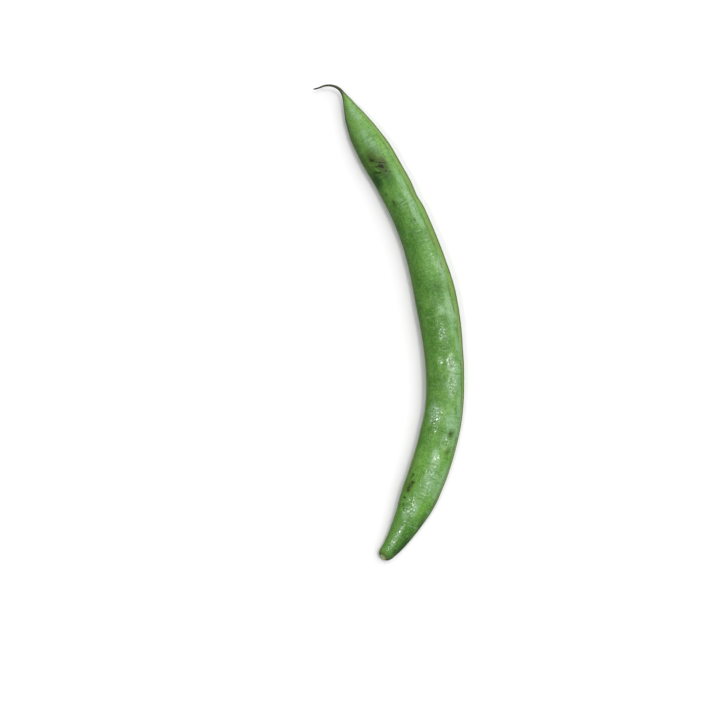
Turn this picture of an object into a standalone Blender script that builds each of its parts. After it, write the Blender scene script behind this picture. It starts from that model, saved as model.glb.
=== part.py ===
"""A green bean: one fresh snap-bean pod, with its hooked beak and the scar where its stem broke off.

The pod lies on its broad side. Units are metres and +Z is up. The pod's length runs along Y, the stem
scar is at -Y, the beak at +Y and the bulging outer side faces +X. The underside rests on z = 0, and the
origin is below the middle of the pod's bounding box.

The solid is one loft. A middle line is laid out in plan from its heading, oval sections stand across it,
and each section has its own width, thickness and roll, so no two are alike.
"""

import math

import bmesh
import bpy
from mathutils import Vector

MM = 0.001

OBJECT_NAME = "green_bean"
NODE_NAME = "pod"

# Distances in mm along the middle line, from the stem scar to the tip of the beak.
POD_LENGTH = 145.0
TOTAL_LENGTH = 154.0

# Each profile is (distance in mm, value), and smooth_value reads it between its points.
# Heading of the middle line in plan, in degrees from +Y towards +X.
HEADING = ((0, 41), (14, 26), (37, 15), (54, 0), (73, -9), (90, -16.8), (119, -30.2), (128, -31.4),
           (134, -28.4), (141, -24.4), (145, -34.8), (147.5, -68), (150, -93), (152, -112), (154, -98))
# Full width across the broad side, from the inner suture to the outer one, in mm.
WIDTH = ((0, 3.9), (6, 6.2), (13, 8.6), (22, 11.1), (36, 11.5), (50, 11.2), (62, 11.4), (78, 12.4),
         (97, 10.7), (112, 10.2), (124, 10.3), (130, 9.4), (136, 6.8), (141, 3.5), (145, 1.1), (147, 0.8),
         (150, 0.6), (154, 0.4))
# Full thickness from one broad face to the other, in mm.
THICKNESS = ((0, 3.0), (6, 4.4), (13, 5.8), (24, 6.8), (50, 7.1), (80, 7.2), (105, 6.6), (124, 5.8),
             (135, 4.2), (141, 2.5), (145, 1.2), (147, 0.8), (150, 0.6), (154, 0.4))
# Roll about the middle line, in degrees: the pod twists until its outer suture is the higher one.
ROLL = ((0, 0), (40, 0), (95, 18), (140, 20), (154, 20))
# Height of the underside above the surface it rests on, in mm: both ends turn up a little.
UNDERSIDE = ((0, 0.9), (10, 0), (114, 0), (128, 0.4), (138, 1.2), (145, 2.3), (150, 3.1), (154, 2.9))

# The underside is pressed flat by this much along its resting line, in mm.
RESTING_FLAT = 0.16

# The blunt stem end is a flat scar inside a rim rounded to RIM_RADIUS mm. The scar has SCAR_SHARE of the
# end's width and leans up by SCAR_LEAN degrees, and the lean is gone LEAN_LENGTH mm further on.
RIM_RADIUS = 1.4
SCAR_SHARE = 0.55
SCAR_LEAN = 34.0
LEAN_LENGTH = 7.0

# A row of seeds, at these distances in mm, swells both broad faces. Each swelling is SEED_LENGTH mm long
# and adds SEED_SWELLING mm to the thickness over the seed's middle.
SEEDS = (14.0, 28.0, 43.0, 57.0, 74.0, 90.5, 108.0, 124.0)
SEED_LENGTH = 12.0
SEED_SWELLING = 0.5

# How finely the loft is made: points in a ring, rings on the rim, and the mm between other rings.
POINTS_ROUND = 24
RIM_RINGS = 4
RING_SPACING = 2.2
BEAK_RING_SPACING = 0.8
MIDDLE_LINE_STEP = 0.1
SHARP_ANGLE = 50.0

POD_COLOUR = (0.122, 0.342, 0.068, 1.0)
POD_ROUGHNESS = 0.36


def smooth_value(profile, distance):
    """The profile's value at a distance, on a smooth curve through its points that never overshoots."""
    places = [place for place, _ in profile]
    values = [value for _, value in profile]
    distance = min(max(distance, places[0]), places[-1])
    steps = [b - a for a, b in zip(places, places[1:])]
    rises = [(b - a) / step for a, b, step in zip(values, values[1:], steps)]
    slopes = [rises[0]]
    for before, after in zip(rises, rises[1:]):
        same_way = before * after > 0
        slopes.append(2 * before * after / (before + after) if same_way else 0.0)
    slopes.append(rises[-1])
    i = max(k for k in range(len(steps)) if places[k] <= distance)
    t = (distance - places[i]) / steps[i]
    start = values[i] * (1 + 2 * t) + slopes[i] * steps[i] * t
    end = values[i + 1] * (3 - 2 * t) - slopes[i + 1] * steps[i] * (1 - t)
    return start * (1 - t) ** 2 + end * t ** 2


def middle_line():
    """Plan points of the middle line, one for each MIDDLE_LINE_STEP, from the scar to the beak's tip."""
    point = Vector((0.0, 0.0, 0.0))
    points = [point.copy()]
    for step in range(round(TOTAL_LENGTH / MIDDLE_LINE_STEP)):
        heading = math.radians(smooth_value(HEADING, (step + 0.5) * MIDDLE_LINE_STEP))
        point += MIDDLE_LINE_STEP * Vector((math.sin(heading), math.cos(heading), 0.0))
        points.append(point.copy())
    return points


def point_on_line(points, distance):
    """The middle line's point at a distance in mm, between the two laid-out points next to it."""
    place = distance / MIDDLE_LINE_STEP
    i = min(int(place), len(points) - 2)
    return points[i].lerp(points[i + 1], place - i)


def seed_swelling(distance):
    """How much thicker the pod is at a distance, in mm: a rounded swelling over each seed."""
    total = 0.0
    for seed in SEEDS:
        offset = (distance - seed) / SEED_LENGTH
        if abs(offset) < 0.5:
            total += SEED_SWELLING * math.cos(math.pi * offset) ** 2
    return total


def rim_share(distance):
    """The share of its full size that a section has on the blunt stem end, a quarter circle from the scar."""
    if distance >= RIM_RADIUS:
        return 1.0
    rounding = math.sqrt(1 - (1 - distance / RIM_RADIUS) ** 2)
    return SCAR_SHARE + (1 - SCAR_SHARE) * rounding


def section(points, distance):
    """One ring of the loft in mm: an oval across the middle line, rolled, set down and pressed flat."""
    share = rim_share(distance)
    half_width = 0.5 * share * smooth_value(WIDTH, distance)
    half_thickness = 0.5 * share * (smooth_value(THICKNESS, distance) + seed_swelling(distance))
    heading = math.radians(smooth_value(HEADING, distance))
    roll = math.radians(smooth_value(ROLL, distance))
    forward = Vector((math.sin(heading), math.cos(heading), 0.0))
    across = Vector((math.cos(heading), -math.sin(heading), 0.0))
    up = Vector((0.0, 0.0, 1.0))

    depth = math.hypot(half_width * math.sin(roll), half_thickness * math.cos(roll))
    full_depth = depth / share
    centre = point_on_line(points, distance)
    centre.z = smooth_value(UNDERSIDE, distance) + full_depth - RESTING_FLAT

    lean = math.radians(SCAR_LEAN) * max(0.0, 1 - distance / LEAN_LENGTH)
    lowest = math.atan2(-half_thickness * math.cos(roll), -half_width * math.sin(roll))
    ring = []
    for i in range(POINTS_ROUND):
        angle = lowest + 2 * math.pi * i / POINTS_ROUND
        side = half_width * math.cos(angle)
        rise = half_thickness * math.sin(angle)
        offset = side * math.cos(roll) - rise * math.sin(roll)
        height = side * math.sin(roll) + rise * math.cos(roll)
        point = centre + across * offset + up * height + forward * height * math.tan(lean)
        point.z = max(point.z, 0.0)
        ring.append(point)
    return ring


def ring_distances():
    """Where the sections stand: close together on the rounded rim and the beak, even along the pod."""
    rim = [RIM_RADIUS * (1 - math.cos(0.5 * math.pi * i / RIM_RINGS)) for i in range(RIM_RINGS)]
    pod_rings = round((POD_LENGTH - RIM_RADIUS) / RING_SPACING)
    pod_step = (POD_LENGTH - RIM_RADIUS) / pod_rings
    pod = [RIM_RADIUS + pod_step * i for i in range(pod_rings)]
    beak_rings = round((TOTAL_LENGTH - POD_LENGTH) / BEAK_RING_SPACING)
    beak_step = (TOTAL_LENGTH - POD_LENGTH) / beak_rings
    beak = [POD_LENGTH + beak_step * i for i in range(beak_rings + 1)]
    return rim + pod + beak


def centred(rings):
    """The rings moved in plan, so that the origin is below the middle of their bounding box."""
    xs = [point.x for ring in rings for point in ring]
    ys = [point.y for ring in rings for point in ring]
    middle = Vector(((min(xs) + max(xs)) / 2, (min(ys) + max(ys)) / 2, 0.0))
    return [[point - middle for point in ring] for ring in rings]


def loft(name, rings):
    """A closed mesh through the rings, in metres, with a flat cap on each end."""
    built = bmesh.new()
    loops = [[built.verts.new(point * MM) for point in ring] for ring in rings]
    for ring, following in zip(loops, loops[1:]):
        for i in range(POINTS_ROUND):
            j = (i + 1) % POINTS_ROUND
            built.faces.new((ring[i], ring[j], following[j], following[i]))
    built.faces.new(loops[0])
    built.faces.new(loops[-1])
    bmesh.ops.recalc_face_normals(built, faces=built.faces)
    mesh = bpy.data.meshes.new(name)
    built.to_mesh(mesh)
    built.free()
    mesh.shade_smooth()
    mesh.set_sharp_from_angle(angle=math.radians(SHARP_ANGLE))
    return mesh


def pod_material():
    """Fresh green skin with a soft wet gloss."""
    material = bpy.data.materials.new("pod_skin")
    material.use_nodes = True
    skin = material.node_tree.nodes["Principled BSDF"]
    skin.inputs["Base Color"].default_value = POD_COLOUR
    skin.inputs["Roughness"].default_value = POD_ROUGHNESS
    skin.inputs["Metallic"].default_value = 0.0
    return material


def clear_scene():
    for item in list(bpy.data.objects):
        bpy.data.objects.remove(item, do_unlink=True)


def build():
    clear_scene()
    collection = bpy.data.collections.new(OBJECT_NAME)
    bpy.context.scene.collection.children.link(collection)
    points = middle_line()
    rings = [section(points, distance) for distance in ring_distances()]
    mesh = loft(NODE_NAME, centred(rings))
    mesh.materials.append(pod_material())
    collection.objects.link(bpy.data.objects.new(NODE_NAME, mesh))


build()
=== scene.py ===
"""The looks of the green bean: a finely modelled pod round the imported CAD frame, its skin, floor and light.

Lengths in the shape section are in mm, as in the part's own construction, and become metres when the mesh
is made. The pod is described in a straightened space of its own: 'along' runs in mm from the stem scar to
the beak's tip, 'across' from the middle line towards the outer suture, and 'height' towards the upper face.
"""

import math

import bpy
import numpy as np
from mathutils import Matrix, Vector, noise


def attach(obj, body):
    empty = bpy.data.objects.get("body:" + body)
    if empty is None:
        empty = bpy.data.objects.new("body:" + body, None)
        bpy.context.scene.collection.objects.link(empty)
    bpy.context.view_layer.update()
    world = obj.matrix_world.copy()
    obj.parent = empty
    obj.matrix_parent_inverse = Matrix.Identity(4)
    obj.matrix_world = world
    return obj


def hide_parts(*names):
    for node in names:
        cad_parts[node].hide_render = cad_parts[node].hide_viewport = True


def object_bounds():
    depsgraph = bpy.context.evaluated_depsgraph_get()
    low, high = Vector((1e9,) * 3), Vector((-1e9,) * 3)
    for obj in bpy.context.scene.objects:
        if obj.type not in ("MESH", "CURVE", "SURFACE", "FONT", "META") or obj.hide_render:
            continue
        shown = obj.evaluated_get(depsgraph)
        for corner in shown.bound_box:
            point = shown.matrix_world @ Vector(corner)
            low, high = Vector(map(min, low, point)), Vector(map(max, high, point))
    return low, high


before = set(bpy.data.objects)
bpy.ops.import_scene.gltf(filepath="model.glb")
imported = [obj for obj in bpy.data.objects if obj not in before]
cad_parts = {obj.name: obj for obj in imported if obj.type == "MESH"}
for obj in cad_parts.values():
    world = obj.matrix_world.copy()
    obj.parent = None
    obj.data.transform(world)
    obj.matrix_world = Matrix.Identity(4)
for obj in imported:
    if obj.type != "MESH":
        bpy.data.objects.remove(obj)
cad_low, cad_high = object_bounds()

MM = 0.001

# ---------------------------------------------------------------------------------------------------------
# The pod's driving dimensions in mm, as in the CAD model. Each profile is (distance along, value), and
# smooth_value reads it between its points.
# ---------------------------------------------------------------------------------------------------------

TOTAL_LENGTH = 154.0
# Heading of the middle line in plan, in degrees from +Y towards +X.
HEADING = ((0, 41), (14, 26), (37, 15), (54, 0), (73, -9), (90, -16.8), (119, -30.2), (128, -31.4),
           (134, -28.4), (141, -24.4), (145, -34.8), (147.5, -68), (150, -93), (152, -112), (154, -98))
# Full width across the broad side, and full thickness.
WIDTH = ((0, 3.9), (6, 6.2), (13, 8.6), (22, 11.1), (36, 11.5), (50, 11.2), (62, 11.4), (78, 12.4),
         (97, 10.7), (112, 10.2), (124, 10.3), (130, 9.4), (136, 6.8), (141, 3.5), (145, 1.1), (147, 0.8),
         (150, 0.6), (154, 0.4))
THICKNESS = ((0, 3.0), (6, 4.4), (13, 5.8), (24, 6.8), (50, 7.1), (80, 7.2), (105, 6.6), (124, 5.8),
             (135, 4.2), (141, 2.5), (145, 1.2), (147, 0.8), (150, 0.6), (154, 0.4))
# Roll about the middle line in degrees, and the height of the underside.
ROLL = ((0, 0), (40, 0), (95, 18), (140, 20), (154, 20))
UNDERSIDE = ((0, 0.9), (10, 0), (114, 0), (128, 0.4), (138, 1.2), (145, 2.3), (150, 3.1), (154, 2.9))
RESTING_FLAT = 0.16
# The stem scar: its rounded rim, its share of the end's width, its lean in degrees and where that is gone.
RIM_RADIUS = 1.4
SCAR_SHARE = 0.55
SCAR_LEAN = 34.0
LEAN_LENGTH = 7.0
SEEDS = (14.0, 28.0, 43.0, 57.0, 74.0, 90.5, 108.0, 124.0)
SEED_SWELLING = 0.5
MIDDLE_LINE_STEP = 0.1

# ---------------------------------------------------------------------------------------------------------
# The relief that the skin adds to that shape, in mm.
# ---------------------------------------------------------------------------------------------------------

# How far off the middle line each seed sits, and its share of the full swelling.
SEED_ASIDE = (0.2, 0.5, -0.3, 0.6, 0.4, 0.7, 0.1, 0.2)
SEED_SHARES = (0.6, 1.0, 0.85, 1.0, 1.0, 0.9, 0.95, 0.7)
SEED_HALF_LENGTH = 5.0
SEED_HALF_WIDTH = 3.4

# Both sutures have a rounded lip on either side, with a fine crease where the lip meets the broad face.
# Between the lips the outer suture is a thin keel, the string, and the inner one a groove. Each profile
# is the lip's width, from the suture to the crease.
OUTER_LIP = ((0, 0.7), (12, 1.2), (50, 1.4), (82, 2.1), (108, 1.8), (130, 1.3), (141, 0.6), (154, 0.3))
INNER_LIP = ((0, 0.7), (12, 1.2), (50, 1.4), (120, 1.4), (141, 0.6), (154, 0.3))
LIP_HEIGHT = 0.09
CREASE_DEPTH = 0.07
CREASE_HALF_WIDTH = 0.20
KEEL_HEIGHT = 0.26
KEEL_HALF_WIDTH = 0.20
GROOVE_DEPTH = 0.18
GROOVE_HALF_WIDTH = 0.22
# Where along the pod the sutures' relief begins, is full, starts to fade and is gone.
SUTURE_START = 0.8
SUTURE_FULL = 4.0
SUTURE_FADE = 138.0
SUTURE_END = 147.0

# Unevenness of the skin at four scales: (wavelength, height).
UNEVENNESS = ((9.0, 0.11), (3.4, 0.045), (1.5, 0.018), (0.8, 0.008))

# The seeds, the unevenness and the marks are flatter where half the thickness is less than this.
FULL_RELIEF_DEPTH = 2.0

# A knock has pressed the outer edge in: (along, half length, depth). The dent is deepest at the edge and
# ends at this share of the half width.
EDGE_DENT = (108.3, 2.5, 0.36)
DENT_END = 0.35

# A corky scar is a shallow pit with a rough floor.
PIT_DEPTH = 0.10
CORK_HEIGHT = 0.07
CORK_FINENESS = 2.1
# The bruise is sunk and wrinkled. Its wrinkles are fine along the pod, coarse across it, and slant.
BRUISE_DEPTH = 0.10
WRINKLE_HEIGHT = 0.11
WRINKLES_ALONG = 1.9
WRINKLES_ACROSS = 0.35
WRINKLE_SLANT = 0.9

# The face of the stem scar is a dish, with fibres standing round it, a raised bundle in the middle and a
# rough grain. The dish slopes over a share of the radius, and the bundle's half width is a share of it too.
SCAR_RECESS = 0.30
SCAR_SLOPE = 0.35
SCAR_FIBRES = 11
FIBRE_HEIGHT = 0.05
BUNDLE_HEIGHT = 0.14
BUNDLE_HALF_WIDTH = 0.25
SCAR_GRAIN = 0.10
SCAR_GRAIN_FINENESS = 3.0

# ---------------------------------------------------------------------------------------------------------
# Marks on the skin, all in the straightened space: (along, across, half length, half width, strength).
# The first list of each kind is for the upper face and the second for the underside, each from the stem to
# the beak. Where marks of a kind overlap, the strongest counts.
# ---------------------------------------------------------------------------------------------------------

# Pale, greyish film of wax and water, which is partly painted sheen: many marks sit where the highlight
# falls, and those along the outer edge lighten it where the light falls off.
BLOOM_AND_SHEEN = (
    (
        (8, -0.7, 6, 0.8, 0.7), (14.5, -1.6, 2, 1.2, 0.9), (18, 0.2, 4, 1.2, 0.7), (26, 1.5, 5, 2.2, 1),
        (27, 4.5, 6, 1.1, 1), (33, 0, 3, 1.2, 0.9), (43, 2.7, 4, 2, 1.1), (44, 4.7, 9, 1.2, 1.1),
        (46, -2.7, 3.8, 1.6, 1), (54, 0.8, 2.6, 1.3, 0.7), (57, 3.2, 5, 1.9, 1),
        (61, -1, 2.4, 1.1, 0.5), (64, 5, 7, 1, 1), (74, 4.2, 5.5, 1.8, 1), (76, 1.6, 3.6, 1.6, 0.8),
        (87, 4.5, 5, 0.9, 1), (91, 2.8, 3.5, 0.9, 0.4), (106, 3, 7, 1.3, 0.9), (109, 0.4, 3, 1.2, 0.6),
        (114, 3.2, 3.5, 1.2, 0.7), (129, 1.1, 5.5, 1.7, 1), (138, 0.8, 4.5, 1.5, 0.7),
    ),
    (
        (16, 0.5, 8, 1.4, 0.7), (34, -1.2, 7, 2.2, 0.8), (52, 1.5, 6, 2, 0.8), (70, -0.5, 8, 2, 0.8),
        (92, 0.8, 7, 2, 0.9), (112, -0.4, 7, 1.6, 0.7), (130, 0.2, 6, 1.2, 0.5),
    ),
)
# Where the skin is wet enough to glint. There its colour also has painted glints.
WET = (
    (
        (4.5, -0.4, 3, 0.8, 1.1), (10, -0.6, 4, 0.7, 0.9), (15.5, -0.8, 2.8, 1.6, 1.2),
        (18, -2, 2, 1.4, 0.8), (23, 1.1, 3.4, 1.1, 0.9), (30, 0.9, 4.5, 1.3, 0.75),
        (38, 2.2, 2.4, 1.3, 0.8), (44.5, -2.2, 3.2, 1.5, 1.2), (54, 2.3, 3.8, 1.6, 0.8),
        (60, 2.3, 2.8, 1.2, 0.8), (61, -1.1, 2, 1, 0.6), (69, 0.9, 2.6, 1.4, 0.8),
        (78, -0.4, 2, 0.9, 0.6), (88, 3.3, 5, 0.8, 0.2),
    ),
    (
        (20, 0.3, 5, 1.3, 0.8), (41, -1, 5, 1.6, 0.8), (66, 1, 5, 1.4, 0.8), (97, -0.6, 6, 1.5, 0.8),
        (122, 0.4, 4, 1.2, 0.6),
    ),
)
# Fresher, more yellow green.
FRESH = (
    (
        (17, 2.3, 4, 1.2, 0.8), (29, -2.6, 7, 1.9, 0.8), (35, 2.6, 2.4, 1.3, 0.8),
        (38, -1, 3.5, 1.4, 0.8), (52, -1.6, 5, 1.8, 0.6), (63, 2.4, 2.2, 1.8, 0.8),
        (75, 0.2, 3, 1.2, 0.6), (97, -1.8, 4, 1.4, 0.5), (98, 0.8, 3, 1, 0.4), (127, 3.3, 8, 0.75, 1),
    ),
    (
        (12, -1.6, 6, 1.2, 0.7), (43, 2.2, 7, 1.4, 0.7), (60, -2.6, 6, 1.4, 0.7),
        (84, 2.4, 6, 1.4, 0.6), (104, -2.2, 6, 1.2, 0.6), (126, 1.6, 6, 1, 0.6),
    ),
)
# Darker green, mostly between the seeds. The marks along the outer side by the stem and those far over on the
# inner side are painted shade.
DEEP_AND_SHADE = (
    (
        (3, 1.4, 4, 1.1, 1.5), (8, 0.8, 4, 0.8, 1.1), (9, 2.3, 5, 1.6, 1.6), (14, 3.6, 4, 1.2, 1.1),
        (20, -0.6, 2, 1.4, 0.3), (36, -0.2, 1.6, 1.4, 0.3), (41, -0.4, 2.4, 1.2, 0.6),
        (64.8, 0.6, 2.8, 3.2, 1.1), (67, -2.6, 6, 1.8, 0.9), (69, -0.8, 3, 1.6, 0.8),
        (82, 1.6, 3.2, 2.8, 1.2), (83, -1, 4, 3, 0.9), (84, -3, 6, 1.8, 0.9),
        (98.6, 0.2, 3.4, 2.4, 1.1), (102, 1.4, 2.4, 1.4, 0.8), (103, -2.8, 6, 1.6, 0.8),
        (116.4, 0.7, 3, 2.2, 1.2), (118.2, -3, 3.2, 2.1, 1.4), (119.4, 0.4, 1.8, 1.8, 1.3),
        (124, -4, 5, 1.4, 1),
    ),
    (
        (21, 0, 3, 2.6, 0.6), (36, 0.4, 3, 2.8, 0.7), (50, -0.4, 3, 3, 0.7), (65, 0.4, 3.4, 3.4, 0.8),
        (82, -0.4, 3.4, 3.4, 0.8), (99, 0.4, 3.2, 3, 0.8), (116, 0, 3.2, 2.4, 0.8),
    ),
)
# Soft olive stains, and the halo round a scar.
OLIVE = (
    (
        (22.6, -3.6, 2.4, 1.1, 0.9), (35.2, 3.4, 1.3, 1, 0.9), (40.3, 3.1, 1.4, 1.1, 1.2),
        (59.5, 2, 1, 0.8, 0.4), (109, -1.5, 1.6, 1.1, 0.6), (121.2, 0.7, 3, 1.9, 1.25),
        (122.2, -2.6, 3.4, 2.2, 0.8), (123.8, -0.9, 3.4, 2.8, 1.2), (129.5, -2.8, 5, 1.6, 0.65),
        (136.5, -2.6, 4, 0.8, 0.6),
    ),
    (
        (28, 1.8, 1.4, 1.1, 0.7), (57, -0.6, 2.2, 1.3, 0.7), (88, -2.6, 1.8, 1.1, 0.7),
        (118, 1.2, 2.6, 1.2, 0.7),
    ),
)
# Corky brown scars.
BROWN = (
    (
        (15.4, -2.6, 0.6, 0.3, 0.7), (16.6, -3.3, 0.9, 0.4, 0.8), (18.6, -3.8, 0.8, 0.45, 0.8),
        (21.4, -3.7, 1.4, 0.9, 0.9), (23.6, -3.3, 1.2, 0.7, 0.85), (25.6, -4.1, 1.2, 0.6, 0.75),
        (35, 3.7, 0.5, 0.4, 0.5), (40.3, 3.2, 0.9, 0.8, 0.55), (59.2, 2.2, 0.4, 0.3, 0.8),
        (134.6, -3.2, 1.6, 0.45, 0.7),
    ),
    (
        (28, 1.8, 0.5, 0.5, 0.9), (57.4, -0.4, 0.9, 0.5, 0.9), (88, -2.6, 0.6, 0.45, 0.9),
        (101.5, 0.9, 0.4, 0.4, 0.8),
    ),
)
# Almost black green: specks, soaked patches on the bruise, and painted shade beside the bruise on the inner
# side and along the outer edge by the stem.
SOAKED_AND_SHADE = (
    (
        (2.4, 1.6, 2.4, 0.9, 0.6), (5, 2.5, 5, 0.9, 0.85), (12, 3.9, 5, 0.7, 0.5),
        (19, 5, 5, 0.6, 0.35), (49, 0.8, 0.3, 0.25, 0.6), (71.5, 2.6, 0.3, 0.25, 0.7),
        (95, 0.6, 0.3, 0.3, 0.8), (101.3, 1.3, 0.3, 0.3, 0.8), (102.4, 1.9, 0.5, 0.3, 0.9),
        (104.2, -0.9, 0.35, 0.3, 0.9), (107, -2.6, 0.35, 0.3, 0.8), (109.6, -1.6, 0.6, 0.45, 0.9),
        (112.6, -2.6, 0.5, 0.4, 0.8), (117.2, -0.1, 2.8, 2.2, 0.5), (118, -3, 3.4, 2.4, 0.8),
        (120.6, 0.5, 2.4, 1.9, 0.6),
    ),
    (
        (44, 0.4, 0.3, 0.3, 0.8), (75, 1.6, 0.4, 0.3, 0.8), (96, -1.9, 0.4, 0.3, 0.8),
        (117, -1.4, 1.6, 1, 0.6),
    ),
)
# A rubbed bruise with dark wrinkles across the pod.
BRUISE = (
    (
        (109, -1.5, 1.2, 0.8, 0.4), (119, 1, 1.2, 1, 0.8), (119.6, -1.4, 1.8, 1.4, 0.6),
        (120.8, 0.7, 1.6, 1.3, 1), (122.4, -0.7, 2.4, 1.8, 0.5),
    ),
    (
        (118, 1.2, 1.4, 0.7, 0.7),
    ),
)

# ---------------------------------------------------------------------------------------------------------
# The mesh: rings and points, under 200,000 triangles, and where its map for baking lies.
# ---------------------------------------------------------------------------------------------------------

RINGS_ALONG = 575
RIM_RINGS = 22
SCAR_RINGS = 9
TIP_RINGS = 5
POINTS_ROUND = 160
# How strongly the points of a ring crowd near both sutures, from 0 to 1.
SUTURE_CROWDING = 0.5
# The size of the scar's first ring, as a share of the step between its rings.
FIRST_SCAR_RING = 0.6
# Where the mesh would pass the CAD model's box, it is shrunk to this share of the box.
INSIDE_BOX = 0.9999
# How far every suture is, in mm, from points on the scar's face and the beak's tip.
FAR = 9.0

# The skin is cut along the underside and laid out as two rows, above them the scar and the tip as discs.
# The scale is for one mm. Each row has the height of its middle line, and in a row the thin beak is made as
# wide as a ring of MAP_LEAST_WIDTH mm. An island is (x, y, radius).
MAP_SCALE = 1 / 78.2
MAP_MARGIN = 0.007
MAP_ROWS = (0.222, 0.662)
MAP_LEAST_WIDTH = 5.0
SCAR_ISLAND = (0.30, 0.935, 0.055)
TIP_ISLAND = (0.60, 0.935, 0.055)


def smooth_value(profile, distance):
    """The profile's value at a distance, on a smooth curve through its points that never overshoots."""
    places = [place for place, _ in profile]
    values = [value for _, value in profile]
    distance = min(max(distance, places[0]), places[-1])
    steps = [b - a for a, b in zip(places, places[1:])]
    rises = [(b - a) / step for a, b, step in zip(values, values[1:], steps)]
    slopes = [rises[0]]
    for before, after in zip(rises, rises[1:]):
        same_way = before * after > 0
        slopes.append(2 * before * after / (before + after) if same_way else 0.0)
    slopes.append(rises[-1])
    i = max(k for k in range(len(steps)) if places[k] <= distance)
    t = (distance - places[i]) / steps[i]
    start = values[i] * (1 + 2 * t) + slopes[i] * steps[i] * t
    end = values[i + 1] * (3 - 2 * t) - slopes[i + 1] * steps[i] * (1 - t)
    return start * (1 - t) ** 2 + end * t ** 2


def ramp(value, low, high):
    """0 below low, 1 above high and a soft step between them. Takes numbers and arrays."""
    t = np.clip((value - low) / (high - low), 0.0, 1.0)
    return t * t * (3 - 2 * t)


def bell(offset, half_width):
    """A soft bump, 1 in its middle and about a third at its half width."""
    return np.exp(-((offset / half_width) ** 2))


def stacked(*values):
    """Numbers and arrays spread to one shape and put side by side on a new last axis."""
    return np.stack(np.broadcast_arrays(*values), axis=-1)


def rough(*coordinates):
    """A smooth random field between -1 and 1, read at each point."""
    points = stacked(*coordinates)
    flat = [noise.noise(Vector(point)) for point in points.reshape(-1, 3)]
    return np.array(flat).reshape(points.shape[:-1])


def seed_swelling(along, across):
    """How much thicker the pod is over its seeds."""
    total = 0.0
    for place, aside, share in zip(SEEDS, SEED_ASIDE, SEED_SHARES):
        total = total + share * bell(along - place, SEED_HALF_LENGTH) * bell(across - aside, SEED_HALF_WIDTH)
    return SEED_SWELLING * total


def middle_line():
    """Plan points of the middle line, one for each MIDDLE_LINE_STEP, from the scar to the beak's tip."""
    steps = range(round(TOTAL_LENGTH / MIDDLE_LINE_STEP))
    headings = [math.radians(smooth_value(HEADING, (step + 0.5) * MIDDLE_LINE_STEP)) for step in steps]
    x = np.concatenate(([0.0], np.cumsum(np.sin(headings)))) * MIDDLE_LINE_STEP
    y = np.concatenate(([0.0], np.cumsum(np.cos(headings)))) * MIDDLE_LINE_STEP
    return x, y


class Stations:
    """Sections at the given distances along: their sizes, places and directions, one row for each."""

    def __init__(self, distances):
        def values(profile):
            return np.array([[smooth_value(profile, distance)] for distance in distances])

        self.along = np.array(distances)[:, None]
        inside_rim = np.clip(1 - self.along / RIM_RADIUS, 0.0, 1.0)
        share = SCAR_SHARE + (1 - SCAR_SHARE) * np.sqrt(1 - inside_rim ** 2)
        self.suture = ramp(self.along, SUTURE_START, SUTURE_FULL)
        self.suture = self.suture * (1 - ramp(self.along, SUTURE_FADE, SUTURE_END))
        width, thickness = values(WIDTH), values(THICKNESS)
        self.half_width = 0.5 * share * width - KEEL_HEIGHT * self.suture
        self.half_thickness = 0.5 * share * thickness
        self.outer_lip, self.inner_lip = values(OUTER_LIP), values(INNER_LIP)
        self.roll = np.radians(values(ROLL))
        self.lean = math.radians(SCAR_LEAN) * np.clip(1 - self.along / LEAN_LENGTH, 0.0, 1.0)
        depth = np.hypot(0.5 * width * np.sin(self.roll), 0.5 * thickness * np.cos(self.roll))
        x, y = middle_line()
        steps = np.arange(len(x)) * MIDDLE_LINE_STEP
        self.x = np.interp(self.along, steps, x)
        self.y = np.interp(self.along, steps, y)
        swelling = 0.5 * seed_swelling(self.along, 0.0) * share
        self.z = values(UNDERSIDE) + depth + swelling * np.cos(self.roll) - RESTING_FLAT
        heading = np.radians(values(HEADING))
        self.sine, self.cosine = np.sin(heading), np.cos(heading)

    def placed(self, across, height, forward=0.0):
        """Points that are 'across', 'height' and 'forward' from the middle line, in mm, on the last axis."""
        offset = across * np.cos(self.roll) - height * np.sin(self.roll)
        rise = across * np.sin(self.roll) + height * np.cos(self.roll)
        ahead = rise * np.tan(self.lean) + forward
        x = self.x + self.cosine * offset + self.sine * ahead
        y = self.y - self.sine * offset + self.cosine * ahead
        return stacked(x, y, self.z + rise)


def distances_along():
    """Where the rings stand: close together round the stem end's rim, then even."""
    rim = [RIM_RADIUS * (1 - math.cos(0.5 * math.pi * i / RIM_RINGS)) for i in range(RIM_RINGS)]
    rest = RINGS_ALONG - RIM_RINGS
    step = (TOTAL_LENGTH - RIM_RADIUS) / (rest - 1)
    return rim + [RIM_RADIUS + step * i for i in range(rest)]


def angles_round():
    """Angles round a section, from the lowest point over the outer suture, crowded near both sutures."""
    turns = 2 * np.arange(POINTS_ROUND) / POINTS_ROUND - 0.5
    return math.pi * (turns - SUTURE_CROWDING * np.sin(2 * math.pi * turns) / (2 * math.pi))


def marked(kind, along, across, height):
    """How strongly a kind of mark covers each point: 0 where there is none, its strength in its middle."""
    upper, under = kind
    total = 0.0
    for side, marks in ((1, upper), (-1, under)):
        # A mark fades out where the skin turns over to the other face.
        facing = ramp(side * height, -0.6, 0.8)
        for place, aside, half_length, half_width, strength in marks:
            spot = bell(along - place, half_length) * bell(across - aside, half_width)
            total = np.maximum(total, strength * spot * facing)
    return total


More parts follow.
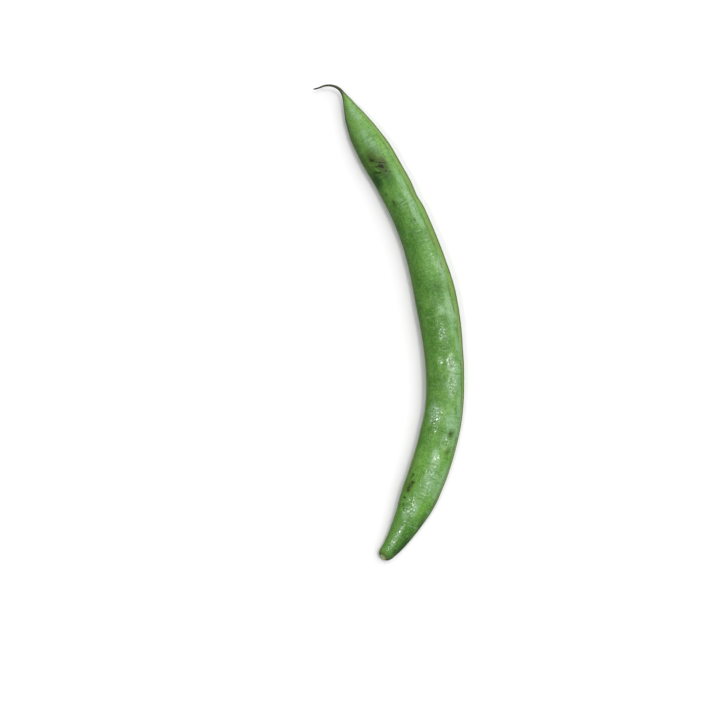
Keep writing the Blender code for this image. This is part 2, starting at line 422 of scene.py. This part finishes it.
def suture_relief(stations, from_outer, from_inner):
    """Lips, creases, the outer keel and the inner groove."""
    total = 0.0
    for distance, width in ((from_outer, stations.outer_lip), (from_inner, stations.inner_lip)):
        lip = bell(distance - 0.5 * width, 0.45 * width)
        total = total + LIP_HEIGHT * lip - CREASE_DEPTH * bell(distance - width, CREASE_HALF_WIDTH)
    total = total + KEEL_HEIGHT * bell(from_outer, KEEL_HALF_WIDTH)
    total = total - GROOVE_DEPTH * bell(from_inner, GROOVE_HALF_WIDTH)
    return stations.suture * total


def unevenness(along, across, height):
    """Gentle bumps, with a different part of the random field for each wavelength."""
    total = 0.0
    for wavelength, depth in UNEVENNESS:
        bumps = rough(along / wavelength + 3.1, across / wavelength + 7.7, height / wavelength + wavelength)
        total = total + depth * bumps
    return total


def mark_relief(along, across, height):
    """Scars are shallow pits with corky floors, and the bruise is sunk and wrinkled across the pod."""
    brown = marked(BROWN, along, across, height)
    bruise = marked(BRUISE, along, across, height)
    cork = rough(along * CORK_FINENESS, across * CORK_FINENESS, height * CORK_FINENESS)
    wrinkles = rough(along * WRINKLES_ALONG + across * WRINKLE_SLANT, across * WRINKLES_ACROSS,
                     height * WRINKLES_ACROSS + 4.0)
    relief = -PIT_DEPTH * brown + CORK_HEIGHT * brown * cork
    return relief - BRUISE_DEPTH * bruise + WRINKLE_HEIGHT * bruise * wrinkles


def skin_shape(stations, angles):
    """The skin's points in mm, their places on the straightened pod and their distances from the sutures."""
    a, b, along = stations.half_width, stations.half_thickness, stations.along
    across, height = a * np.cos(angles), b * np.sin(angles)
    outward = stacked(np.cos(angles) / a, np.sin(angles) / b)
    outward /= np.linalg.norm(outward, axis=-1, keepdims=True)
    from_outer = np.hypot(a - across, height)
    from_inner = np.hypot(a + across, height)
    size = np.minimum(1.0, b / FULL_RELIEF_DEPTH)
    swelling = 0.5 * seed_swelling(along, across) * np.abs(np.sin(angles))
    relief = size * (swelling + unevenness(along, across, height))
    relief += size * mark_relief(along, across, height)
    relief += suture_relief(stations, from_outer, from_inner)
    place, half_length, depth = EDGE_DENT
    relief -= depth * bell(along - place, half_length) * ramp(across / a, DENT_END, 1.0)
    points = stations.placed(across + outward[..., 0] * relief, height + outward[..., 1] * relief)
    points[..., 2] = np.maximum(points[..., 2], 0.0)
    lips = np.maximum(1 - from_outer / stations.outer_lip, 1 - from_inner / stations.inner_lip)
    return points, stacked(along, across, height), stacked(from_outer, from_inner, lips)


def away_from_sutures(places):
    """Distances for points that no suture reaches, in the order that skin_shape gives them."""
    return np.broadcast_to((FAR, FAR, -FAR), places.shape)


def scar_sizes(count):
    """Sizes of the scar's rings from the middle outwards, where 1 is the scar's own rim."""
    return (np.arange(count) + FIRST_SCAR_RING)[:, None] / (SCAR_RINGS + FIRST_SCAR_RING)


def scar_shape(station, angles):
    """Rings that close the stem end, from the middle outwards: a shallow dish with fibres in a bundle."""
    sizes = scar_sizes(SCAR_RINGS)
    across = sizes * station.half_width * np.cos(angles)
    height = sizes * station.half_thickness * np.sin(angles)
    dish = SCAR_RECESS * ramp(1 - sizes, 0.0, SCAR_SLOPE)
    fibres = FIBRE_HEIGHT * np.sin(SCAR_FIBRES * angles) * sizes * ramp(1 - sizes, 0.05, SCAR_SLOPE)
    bundle = BUNDLE_HEIGHT * bell(sizes, BUNDLE_HALF_WIDTH)
    grain = SCAR_GRAIN * rough(across * SCAR_GRAIN_FINENESS, height * SCAR_GRAIN_FINENESS, 0.0)
    points = station.placed(across, height, dish + fibres - bundle + grain)
    places = stacked(sizes - 1, across, height)
    return points, places, away_from_sutures(places)


def tip_shape(station, angles):
    """Rings that round off the dry tip of the beak."""
    turns = 0.5 * math.pi * (np.arange(TIP_RINGS) + 1)[:, None] / (TIP_RINGS + 1)
    across = np.cos(turns) * station.half_width * np.cos(angles)
    height = np.cos(turns) * station.half_thickness * np.sin(angles)
    ahead = np.sin(turns) * station.half_width
    places = stacked(station.along + ahead, across, height)
    return station.placed(across, height, ahead), places, away_from_sutures(places)


def fitted(points):
    """The points in metres, moved to the CAD model's middle and shrunk by a hair if they pass its box."""
    low, high = points.min(axis=0), points.max(axis=0)
    middle = 0.5 * (low + high)
    middle[2] = 0.0
    cad_size = (np.array(cad_high) - np.array(cad_low)) / MM
    scale = np.minimum(1.0, INSIDE_BOX * cad_size / (high - low))
    cad_middle = 0.5 * (np.array(cad_high) + np.array(cad_low))
    cad_middle[2] = 0.0
    return (points - middle) * scale * MM + cad_middle


def band_map(points, along):
    """Map places for the skin's rings: one column more than there are points, to close each ring."""
    closed = np.concatenate([points, points[:, :1]], axis=1)
    steps = np.linalg.norm(np.diff(closed, axis=1), axis=-1)
    arc = np.concatenate([np.zeros((len(points), 1)), np.cumsum(steps, axis=1)], axis=1)
    length = arc[:, -1:]
    spread = (arc - 0.5 * length) * np.maximum(length, MAP_LEAST_WIDTH) / length
    return MAP_SCALE * along, MAP_SCALE * spread


def disc_map(island, sizes, angles):
    """Map places for the rings of an end, one inside the other round the island's middle."""
    x, y, radius = island
    return stacked(x + radius * sizes * np.cos(angles), y + radius * sizes * np.sin(angles))


def end_maps(angles):
    """The maps of the scar and the tip, each with the skin's first or last ring as its outermost."""
    closed = np.append(angles, angles[0] + 2 * math.pi)
    scar_map = disc_map(SCAR_ISLAND, scar_sizes(SCAR_RINGS + 1), closed)
    tip_sizes = 1 - np.arange(TIP_RINGS + 1)[:, None] / (TIP_RINGS + 1)
    return scar_map, disc_map(TIP_ISLAND, tip_sizes, -closed)


def skin_strips(points, distances):
    """The skin's map, as the two rings of every strip. A ring between the two rows is in both of them."""
    along, spread = band_map(points, np.array(distances))
    half = 0.5 * TOTAL_LENGTH
    strips = []
    for k in range(len(distances) - 1):
        row = 0 if 0.5 * (distances[k] + distances[k + 1]) < half else 1
        start, centre = row * half * MAP_SCALE, MAP_ROWS[row]
        strips.append([stacked(MAP_MARGIN + along[j] - start, centre + spread[j]) for j in (k, k + 1)])
    return strips


def strip_faces(strips):
    """Faces between neighbouring rings, and the map places of their corners."""
    faces, corners = [], []
    for k, (lower, upper) in enumerate(strips):
        first, following = k * POINTS_ROUND, (k + 1) * POINTS_ROUND
        for i in range(POINTS_ROUND):
            j = (i + 1) % POINTS_ROUND
            faces.append((first + j, first + i, following + i, following + j))
            corners += [lower[i + 1], lower[i], upper[i], upper[i + 1]]
    return faces, corners


def fan_faces(middle, ring_start, island, ring_map, forwards):
    """Faces that close a ring round its middle point, and the map places of their corners."""
    faces, corners = [], []
    for i in range(POINTS_ROUND):
        a, b = (i, i + 1) if forwards else (i + 1, i)
        faces.append((middle, ring_start + a % POINTS_ROUND, ring_start + b % POINTS_ROUND))
        corners += [island[:2], ring_map[a], ring_map[b]]
    return faces, corners


def pod_faces(skin_points, distances, angles, rings):
    """All faces and the map places of their corners. The two middle points come after the rings' points."""
    scar_map, tip_map = end_maps(angles)
    strips = list(zip(scar_map, scar_map[1:]))
    strips += skin_strips(skin_points, distances)
    strips += zip(tip_map, tip_map[1:])
    middle = rings * POINTS_ROUND
    sides = strip_faces(strips)
    start = fan_faces(middle, 0, SCAR_ISLAND, scar_map[0], True)
    end = fan_faces(middle + 1, middle - POINTS_ROUND, TIP_ISLAND, tip_map[-1], False)
    return sides[0] + start[0] + end[0], sides[1] + start[1] + end[1]


def mark_layers(places):
    """The marks' cover of each point, up to three kinds in the three numbers of a layer."""
    along, across, height = places.T
    # The stains layer also carries the deep green marks, and the bruises layer the soaked ones: both partly
    # painted shade.
    layers = (("tints", (BLOOM_AND_SHEEN, WET, FRESH)), ("stains", (DEEP_AND_SHADE, OLIVE, BROWN)), ("bruises", (BRUISE, SOAKED_AND_SHADE)))
    for name, kinds in layers:
        cover = [marked(kind, along, across, height) for kind in kinds]
        cover += [np.zeros(len(along))] * (3 - len(kinds))
        yield name, stacked(*cover)


def pod_mesh():
    """The pod's fine mesh, with its straightened places, its marks and its map for baking."""
    angles = angles_round()
    distances = distances_along()
    skin = skin_shape(Stations(distances), angles)
    scar = scar_shape(Stations(distances[:1]), angles)
    tip = tip_shape(Stations(distances[-1:]), angles)
    points, places, sutures = (np.concatenate(parts) for parts in zip(scar, skin, tip))
    faces, corners = pod_faces(skin[0], distances, angles, len(points))

    ends = np.array([points[0].mean(axis=0), points[-1].mean(axis=0)])
    end_places = np.array([places[0].mean(axis=0), places[-1].mean(axis=0)])
    vertices = fitted(np.concatenate([points.reshape(-1, 3), ends]))
    places = np.concatenate([places.reshape(-1, 3), end_places])
    edges = np.concatenate([sutures.reshape(-1, 3), away_from_sutures(end_places)])

    mesh = bpy.data.meshes.new("pod_skin")
    mesh.from_pydata(vertices.tolist(), [], faces)
    for name, values in (("place", places), ("edges", edges), *mark_layers(places)):
        layer = mesh.attributes.new(name, "FLOAT_VECTOR", "POINT")
        layer.data.foreach_set("vector", values.astype(np.float32).ravel())
    bake_map = mesh.uv_layers.new(name="OFBake")
    bake_map.data.foreach_set("uv", np.array(corners, np.float32).ravel())
    bake_map.active_render = True
    mesh.shade_smooth()
    return mesh


# ---------------------------------------------------------------------------------------------------------
# Node helpers and the skin's material.
# ---------------------------------------------------------------------------------------------------------

# A Mix node has sockets for each type of value. These are the numbers of those for colours.
MIX_FIRST, MIX_SECOND, MIX_RESULT = 6, 7, 2


def colour(red, green, blue):
    """A linear colour from one given on the usual 0 to 255 screen scale."""
    def linear(value):
        value /= 255
        return value / 12.92 if value <= 0.04045 else ((value + 0.055) / 1.055) ** 2.4
    return (linear(red), linear(green), linear(blue), 1.0)


class Nodes:
    """A material's node tree, with short calls for the nodes used here."""

    def __init__(self, material):
        material.use_nodes = True
        self.tree = material.node_tree
        self.tree.nodes.clear()

    def add(self, kind, inputs, **settings):
        """A new node, with its inputs fed by name or by number."""
        node = self.tree.nodes.new(kind)
        for key, value in settings.items():
            setattr(node, key, value)
        for key, value in inputs.items():
            self.feed(node.inputs[key], value)
        return node

    def feed(self, socket, value):
        """Links the socket to another node's output, or sets it to a plain value."""
        if isinstance(value, bpy.types.NodeSocket):
            self.tree.links.new(value, socket)
        else:
            socket.default_value = value

    def attribute(self, name):
        return self.add("ShaderNodeAttribute", {}, attribute_name=name).outputs["Vector"]

    def parts(self, vector):
        return list(self.add("ShaderNodeSeparateXYZ", {0: vector}).outputs)

    def math(self, operation, *values):
        return self.add("ShaderNodeMath", dict(enumerate(values)), operation=operation).outputs[0]

    def vector_math(self, operation, *values):
        return self.add("ShaderNodeVectorMath", dict(enumerate(values)), operation=operation).outputs[0]

    def scaled(self, vector, scale, shift=(0.0, 0.0, 0.0)):
        return self.vector_math("MULTIPLY_ADD", vector, scale, shift)

    def turned(self, place, degrees):
        """The straightened place turned in the plane of the broad face, for marks that run aslant."""
        inputs = {"Vector": place, "Angle": math.radians(degrees)}
        return self.add("ShaderNodeVectorRotate", inputs, rotation_type="Z_AXIS").outputs[0]

    def noise(self, vector, detail=2.0, roughness=0.5):
        """Smooth noise round 0.5."""
        inputs = {"Vector": vector, "Scale": 1.0, "Detail": detail, "Roughness": roughness}
        return self.add("ShaderNodeTexNoise", inputs).outputs["Fac"]

    def cells(self, vector, scale=1.0):
        """Cells round random points: the distance to the cell's point, and a random colour for the cell."""
        node = self.add("ShaderNodeTexVoronoi", {"Vector": vector, "Scale": scale})
        return node.outputs["Distance"], node.outputs["Color"]

    def between(self, value, low, high, to_low=0.0, to_high=1.0):
        """A soft step: to_low where value is under low, to_high where it is over high."""
        inputs = {"Value": value, "From Min": low, "From Max": high, "To Min": to_low, "To Max": to_high}
        return self.add("ShaderNodeMapRange", inputs, interpolation_type="SMOOTHSTEP").outputs["Result"]

    def mix(self, share, first, second):
        """The first colour under a share of the second."""
        inputs = {"Factor": share, MIX_FIRST: first, MIX_SECOND: second}
        return self.add("ShaderNodeMix", inputs, data_type="RGBA").outputs[MIX_RESULT]

    def sway(self, value, amount):
        """A noise value moved from round 0.5 to round 0, and made 'amount' times as strong."""
        return self.math("MULTIPLY", self.math("SUBTRACT", value, 0.5), amount)


GREEN = colour(98, 150, 62)
GREEN_DEEP = colour(68, 120, 38)
GREEN_DARK = colour(46, 86, 28)
GREEN_SOAKED_AND_SHADE = colour(36, 76, 26)
GREEN_LIGHT = colour(125, 170, 88)
GREEN_FRESH = colour(104, 156, 50)
# The pale film: wax bloom, and painted sheen where the highlight falls. The pale lines across the pod use it
# too.
FILM_AND_SHEEN = colour(148, 185, 145)
# Painted glints on the droplets.
PAINTED_GLINT = colour(204, 228, 212)
PORE = colour(44, 82, 24)
LIP = colour(132, 162, 86)
CREASE = colour(92, 112, 46)
GROOVE_DARK = colour(66, 62, 30)
STRING = colour(78, 90, 36)
STRING_DARK = colour(38, 62, 18)
OLIVE_STAIN = colour(70, 90, 32)
CORK = colour(38, 44, 12)
CORK_PALE = colour(104, 92, 34)
BRUISE_DARK = colour(32, 44, 18)
SCAR_CREAM = colour(176, 190, 136)
SCAR_RIM = colour(96, 112, 54)
BEAK = colour(62, 70, 46)
BEAK_DRY = colour(52, 46, 34)

# How far the painted glints' dashes, the film's facets and the bruise's streaks are turned from straight
# across the pod, in degrees.
DROPLET_SLANT = 38.0
BRUISE_SLANT = -28.0
PORES_PER_MM = 1.35
LARGEST_PORE = 0.20


def flesh_colour(n, along, patchy, ragged, broad, grain, speckle):
    """The greens: broad patches and marks, under a pale film of wax bloom and painted sheen in places, then
    the grain and the speckle. The deep green marks are partly painted shade.
    """
    bloom_and_sheen, _, fresh = n.parts(n.attribute("tints"))
    deep_and_shade, _, _ = n.parts(n.attribute("stains"))
    skin = n.mix(n.between(broad, 0.36, 0.60), GREEN_DEEP, GREEN)
    skin = n.mix(n.between(patchy, 0.46, 0.70, 0.0, 0.7), skin, GREEN_LIGHT)
    skin = n.mix(n.between(along, 124.0, 138.0, 0.0, 0.8), skin, GREEN_LIGHT)
    skin = n.mix(n.between(n.math("ADD", fresh, ragged), 0.25, 0.85, 0.0, 0.85), skin, GREEN_FRESH)
    # Deep and dark green: between the seeds, and painted shade along the outer side by the stem and far over
    # on the inner side.
    skin = n.mix(n.between(n.math("ADD", deep_and_shade, ragged), 0.15, 0.95, 0.0, 0.95), skin, GREEN_DEEP)
    skin = n.mix(n.between(n.math("ADD", deep_and_shade, ragged), 0.70, 1.50, 0.0, 0.8), skin, GREEN_DARK)
    # Wax bloom with painted sheen: paler where the highlight falls and along the outer edge.
    skin = n.mix(n.between(n.math("ADD", bloom_and_sheen, ragged), 0.15, 0.95, 0.0, 0.75), skin, FILM_AND_SHEEN)
    skin = n.mix(n.between(grain, 0.48, 0.66, 0.0, 0.34), skin, GREEN_LIGHT)
    skin = n.mix(n.between(grain, 0.34, 0.50, 0.42, 0.0), skin, GREEN_DEEP)
    skin = n.mix(n.between(speckle, 0.50, 0.66, 0.0, 0.55), skin, GREEN_LIGHT)
    return n.mix(n.between(speckle, 0.34, 0.48, 0.70, 0.0), skin, GREEN_DEEP)


def line_colour(n, skin, place):
    """Fine pale and dark lines across the pod, in some stretches only."""
    lines = n.noise(n.scaled(place, (2.2, 0.26, 0.26), (1.0, 5.0, 2.0)), detail=3.0, roughness=0.7)
    stretches = n.between(n.noise(n.scaled(place, (0.13, 0.22, 0.22), (9.0, 9.0, 1.0))), 0.40, 0.60)
    skin = n.mix(n.math("MULTIPLY", stretches, n.between(lines, 0.52, 0.68, 0.0, 0.4)), skin, FILM_AND_SHEEN)
    return n.mix(n.math("MULTIPLY", stretches, n.between(lines, 0.34, 0.48, 0.6, 0.0)), skin, GREEN_DEEP)


def painted_glint_colour(n, skin, place, wet):
    """Painted glints on droplets in the wet places: short, pale slanting dashes with darker gaps."""
    slanting = n.scaled(n.turned(place, DROPLET_SLANT), (2.6, 1.2, 1.6))
    dashes = n.noise(slanting, detail=2.0, roughness=0.6)
    damp = n.between(wet, 0.25, 0.75)
    skin = n.mix(n.math("MULTIPLY", damp, n.between(dashes, 0.38, 0.46, 0.75, 0.0)), skin, GREEN_DEEP)
    return n.mix(n.math("MULTIPLY", damp, n.between(dashes, 0.575, 0.645, 0.0, 0.85)), skin, PAINTED_GLINT)


def suture_colour(n, skin, along, patchy, grain):
    """Pale lips beside both sutures, the creases at their feet, the outer string and the inner groove."""
    outer, inner, lips = n.parts(n.attribute("edges"))
    lips = n.math("ADD", lips, n.math("ADD", n.sway(patchy, 0.6), n.sway(grain, 0.4)))
    pale = n.between(along, 8.0, 26.0, 0.1, 0.6)
    skin = n.mix(n.between(lips, -0.15, 0.35, 0.0, pale), skin, LIP)
    line = n.math("MULTIPLY", n.between(lips, -0.30, -0.05), n.between(lips, 0.05, 0.30, 1.0, 0.0))
    skin = n.mix(n.math("MULTIPLY", line, n.between(patchy, 0.40, 0.60, 0.05, 0.75)), skin, CREASE)
    # The string is darker and wider near the stem, partly as painted shade along that edge.
    string_half = n.between(along, 4.0, 26.0, 0.85, 0.45)
    string_edge = n.math("SUBTRACT", n.math("ADD", outer, n.sway(grain, 0.5)), string_half)
    string = n.mix(n.between(along, 10.0, 24.0), STRING_DARK, STRING)
    skin = n.mix(n.between(string_edge, -0.30, 0.08, 0.9, 0.0), skin, string)
    # The inner groove darkens and spreads to the edge towards the beak.
    groove_half = n.between(along, 129.0, 137.0, 0.38, 1.05)
    groove = n.mix(n.between(along, 129.0, 137.0), CREASE, GROOVE_DARK)
    return n.mix(n.between(n.math("SUBTRACT", inner, groove_half), -0.26, 0.0, 0.85, 0.0), skin, groove)


def blemish_colour(n, skin, place, ragged):
    """Soaked patches and painted shade, olive stains, corky scars with paler spots, and the bruise's slanting
    dark streaks.
    """
    _, olive, brown = n.parts(n.attribute("stains"))
    bruise, soaked_and_shade, _ = n.parts(n.attribute("bruises"))
    uneven = n.math("ADD", soaked_and_shade, n.math("MULTIPLY", ragged, 0.45))
    share = n.math("MULTIPLY", n.between(uneven, 0.05, 0.95, 0.0, 0.85), n.between(soaked_and_shade, 0.02, 0.3))
    # Almost black green: soaked patches and specks, and painted shade beside the bruise and along the outer
    # edge by the stem.
    skin = n.mix(share, skin, GREEN_SOAKED_AND_SHADE)
    skin = n.mix(n.between(n.math("ADD", olive, ragged), 0.05, 1.30, 0.0, 0.9), skin, OLIVE_STAIN)
    flecks = n.noise(n.scaled(place, (2.0, 2.2, 2.2), (2.0, 8.0, 4.0)), detail=4.0, roughness=0.72)
    corky = n.math("ADD", brown, n.sway(flecks, 3.2))
    share = n.math("MULTIPLY", n.between(corky, 0.42, 0.85, 0.0, 0.95), n.between(brown, 0.04, 0.3))
    skin = n.mix(share, skin, CORK)
    skin = n.mix(n.math("MULTIPLY", share, n.between(corky, 0.95, 1.25, 0.0, 0.8)), skin, CORK_PALE)
    slanting = n.scaled(n.turned(place, BRUISE_SLANT), (1.15, 0.38, 0.38))
    streaks = n.noise(slanting, detail=3.0, roughness=0.6)
    bruised = n.math("ADD", bruise, n.sway(streaks, 6.5))
    bruised = n.math("MULTIPLY", n.between(bruised, 0.62, 1.15, 0.0, 0.95), n.between(bruise, 0.05, 0.45))
    return n.mix(bruised, skin, BRUISE_DARK)


def pore_colour(n, skin, place, patchy):
    """Pores: small dark points, thicker in some places."""
    distance, pick = n.cells(place, PORES_PER_MM)
    size = n.between(n.parts(pick)[0], 0.35, 1.0, 0.0, LARGEST_PORE)
    crowd = n.between(patchy, 0.40, 0.62, 0.2, 1.0)
    edge = n.math("SUBTRACT", distance, n.math("MULTIPLY", size, crowd))
    return n.mix(n.between(edge, -0.06, 0.03, 0.75, 0.0), skin, PORE)


def end_colour(n, skin, along, ragged, grain):
    """The beak, dry at its tip, and the rim and cut face of the stem scar."""
    skin = n.mix(n.between(n.math("ADD", along, ragged), 142.0, 147.0), skin, BEAK)
    skin = n.mix(n.between(along, 150.5, 153.8), skin, BEAK_DRY)
    skin = n.mix(n.between(n.math("ADD", along, n.sway(grain, 0.8)), 0.05, 0.5, 0.7, 0.0), skin, SCAR_RIM)
    cut = n.mix(n.between(grain, 0.30, 0.5), SCAR_RIM, SCAR_CREAM)
    return n.mix(n.between(along, -0.10, -0.02, 1.0, 0.0), skin, cut)


def skin_colour(n, place, along, wet):
    """The skin's colour, from the broad patches down to the pores, and then the two ends."""
    patchy = n.noise(n.scaled(place, (0.24, 0.34, 0.34), (40.0, 3.0, 9.0)), detail=5.0, roughness=0.62)
    ragged = n.sway(patchy, 1.6)
    broad = n.noise(n.scaled(place, (0.10, 0.19, 0.19)), detail=6.0, roughness=0.62)
    grain = n.noise(n.scaled(place, (1.15, 1.35, 1.35), (7.0, 1.0, 4.0)), detail=4.0, roughness=0.68)
    speckle = n.noise(n.scaled(place, (2.3, 2.6, 2.6), (3.0, 6.0, 8.0)), detail=2.0, roughness=0.7)
    skin = flesh_colour(n, along, patchy, ragged, broad, grain, speckle)
    skin = line_colour(n, skin, place)
    skin = painted_glint_colour(n, skin, place, wet)
    skin = suture_colour(n, skin, along, patchy, grain)
    skin = blemish_colour(n, skin, place, ragged)
    skin = pore_colour(n, skin, place, patchy)
    return end_colour(n, skin, along, ragged, grain)


def film_normal(n, place, wet, skin_normal):
    """The water film's own normal: small facets, each tilted its own way, so that it glints in points."""
    _, facet = n.cells(n.scaled(n.turned(place, DROPLET_SLANT), (2.2, 1.3, 1.6)))
    tilt = n.vector_math("SUBTRACT", facet, (0.5, 0.5, 0.5))
    inputs = {0: tilt, "Scale": n.between(wet, 0.1, 0.7, 0.10, 0.34)}
    steep = n.add("ShaderNodeVectorMath", inputs, operation="SCALE").outputs[0]
    return n.vector_math("NORMALIZE", n.vector_math("ADD", skin_normal, steep))


def skin_material():
    """Green skin with fine relief and a soft gloss, under a film of water that is thick in the wet places."""
    material = bpy.data.materials.new("pod_skin")
    n = Nodes(material)
    place = n.attribute("place")
    along, _, _ = n.parts(place)
    _, wet, _ = n.parts(n.attribute("tints"))
    deep_and_shade, _, brown = n.parts(n.attribute("stains"))

    fine = n.noise(n.scaled(place, (1.7, 2.0, 2.0)), detail=5.0, roughness=0.62)
    ridges = n.noise(n.scaled(place, (2.8, 0.5, 0.5), (1.0, 5.0, 2.0)), detail=2.0)
    relief = n.math("ADD", fine, n.math("MULTIPLY", ridges, 0.6))
    skin_normal = n.add("ShaderNodeBump", {"Distance": 0.045 * MM, "Height": relief}).outputs["Normal"]

    patches = n.noise(n.scaled(place, (0.30, 0.42, 0.42), (11.0, 2.0, 5.0)), detail=4.0, roughness=0.6)
    film = n.between(n.math("ADD", wet, n.math("MULTIPLY", patches, 0.8)), 0.45, 0.90, 0.06, 1.0)
    film = n.math("MULTIPLY", film, n.between(deep_and_shade, 0.1, 0.8, 1.0, 0.35))
    film = n.math("MULTIPLY", film, n.between(brown, 0.1, 0.4, 1.0, 0.2))
    dry = n.between(along, 143.0, 147.0)
    dull = n.math("ADD", n.between(fine, 0.3, 0.7, 0.38, 0.50), n.math("MULTIPLY", dry, 0.25))

    shader = n.add("ShaderNodeBsdfPrincipled", {
        "Base Color": skin_colour(n, place, along, wet),
        "Roughness": dull,
        "Normal": skin_normal,
        "Specular IOR Level": 0.25,
        "Subsurface Weight": 0.10,
        "Subsurface Radius": (0.5, 1.0, 0.3),
        "Subsurface Scale": 0.8 * MM,
        "Coat Weight": n.math("MULTIPLY", film, n.math("SUBTRACT", 1.0, dry)),
        "Coat Roughness": 0.08,
        "Coat IOR": 1.6,
        "Coat Normal": film_normal(n, place, wet, skin_normal),
    })
    n.add("ShaderNodeOutputMaterial", {"Surface": shader.outputs[0]})
    return material


def new_object(name, data):
    """An object for the data, in the scene."""
    item = bpy.data.objects.new(name, data)
    bpy.context.scene.collection.objects.link(item)
    return item


def make_pod():
    """The one visual piece. It stands for the CAD model's solid."""
    mesh = pod_mesh()
    mesh.materials.append(skin_material())
    pod = new_object("pod_skin", mesh)
    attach(pod, "root")
    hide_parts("pod")


# ---------------------------------------------------------------------------------------------------------
# Floor, light and camera. Lengths are in metres here.
# ---------------------------------------------------------------------------------------------------------

# Half the floor's side, and how far it lies below the pod's underside.
FLOOR_HALF = 3.0
FLOOR_DROP = 0.02 * MM
WALL_RADIUS = 2.9
WALL_HEIGHT = 2.0
WALL_SIDES = 64
# Strength of the even white light from all round.
SKY = 0.25
# Distant lamps: (strength, width, lean from straight above, heading from +X), angles in degrees.
SOFTBOX = (2.35, 70.0, 34.0, 42.0)
GLINT = (0.65, 7.0, 22.0, 42.0)
BACK_GLINT = (0.45, 6.0, 20.0, 200.0)
BOUNCE = (0.45, 100.0, 180.0, 0.0)
# How wide the picture is at the height of the pod, and where its middle lies from the pod's.
VIEW_WIDTH = 208.0 * MM
VIEW_OFFSET = (-8.3 * MM, -10.8 * MM)
# Focal length in mm.
LENS = 100.0


def plain_shader(mesh, name):
    """Gives the mesh a new material and returns its shader."""
    material = bpy.data.materials.new(name)
    material.use_nodes = True
    mesh.materials.append(material)
    return material.node_tree.nodes["Principled BSDF"]


def make_floor():
    """A pale matt floor, just under the pod."""
    mesh = bpy.data.meshes.new("floor")
    corners = [(FLOOR_HALF * x, FLOOR_HALF * y, -FLOOR_DROP) for x, y in ((-1, -1), (1, -1), (1, 1), (-1, 1))]
    mesh.from_pydata(corners, [], [(0, 1, 2, 3)])
    shader = plain_shader(mesh, "floor")
    shader.inputs["Base Color"].default_value = (0.90, 0.90, 0.90, 1.0)
    shader.inputs["Roughness"].default_value = 0.9
    shader.inputs["Specular IOR Level"].default_value = 0.1
    floor = new_object("floor", mesh)
    # The photograph's pods fall off dark at their sides, so the floor throws no white light back at them.
    # The bounce lamp stands in for a little of it, and shines up through the floor.
    floor.visible_diffuse = False
    floor.visible_glossy = False
    floor.visible_shadow = False


def make_wall():
    """A white wall all round the floor, seen by the camera only, so that low views have no dark horizon."""
    turns = [2 * math.pi * i / WALL_SIDES for i in range(WALL_SIDES)]
    circle = [(WALL_RADIUS * math.cos(turn), WALL_RADIUS * math.sin(turn)) for turn in turns]
    corners = [(x, y, z) for z in (-FLOOR_DROP, WALL_HEIGHT) for x, y in circle]
    faces = []
    for i in range(WALL_SIDES):
        j = (i + 1) % WALL_SIDES
        faces.append((i, WALL_SIDES + i, WALL_SIDES + j, j))
    mesh = bpy.data.meshes.new("wall")
    mesh.from_pydata(corners, [], faces)
    shader = plain_shader(mesh, "wall")
    shader.inputs["Base Color"].default_value = (0.0, 0.0, 0.0, 1.0)
    shader.inputs["Emission Color"].default_value = (1.0, 1.0, 1.0, 1.0)
    shader.inputs["Emission Strength"].default_value = 1.0
    wall = new_object("wall", mesh)
    wall.visible_diffuse = False
    wall.visible_glossy = False
    wall.visible_transmission = False
    wall.visible_shadow = False


def make_lamp(name, strength, width, lean, heading):
    """A distant lamp. The width, which makes it soft, and the directions are in degrees."""
    data = bpy.data.lights.new(name, "SUN")
    data.energy = strength
    data.angle = math.radians(width)
    lamp = new_object(name, data)
    lamp.rotation_euler = (0.0, math.radians(lean), math.radians(heading))


def make_light():
    """An even white sky and the lamps."""
    world = bpy.data.worlds.new("studio")
    bpy.context.scene.world = world
    world.use_nodes = True
    background = world.node_tree.nodes["Background"]
    background.inputs["Color"].default_value = (1.0, 1.0, 1.0, 1.0)
    background.inputs["Strength"].default_value = SKY
    make_lamp("softbox", *SOFTBOX)
    make_lamp("glint", *GLINT)
    make_lamp("back glint", *BACK_GLINT)
    make_lamp("bounce", *BOUNCE)


def make_camera():
    """Straight above, framed as the photograph frames this bean: up and to the right of the middle."""
    data = bpy.data.cameras.new("camera")
    data.lens = LENS
    camera = new_object("camera", data)
    distance = VIEW_WIDTH * LENS / data.sensor_width
    camera.location = 0.5 * (cad_low + cad_high) + Vector((*VIEW_OFFSET, distance))
    bpy.context.scene.camera = camera


make_camera()
make_pod()
make_floor()
make_wall()
make_light()

settings = bpy.context.scene.view_settings
settings.view_transform = "Standard"
settings.look = "None"
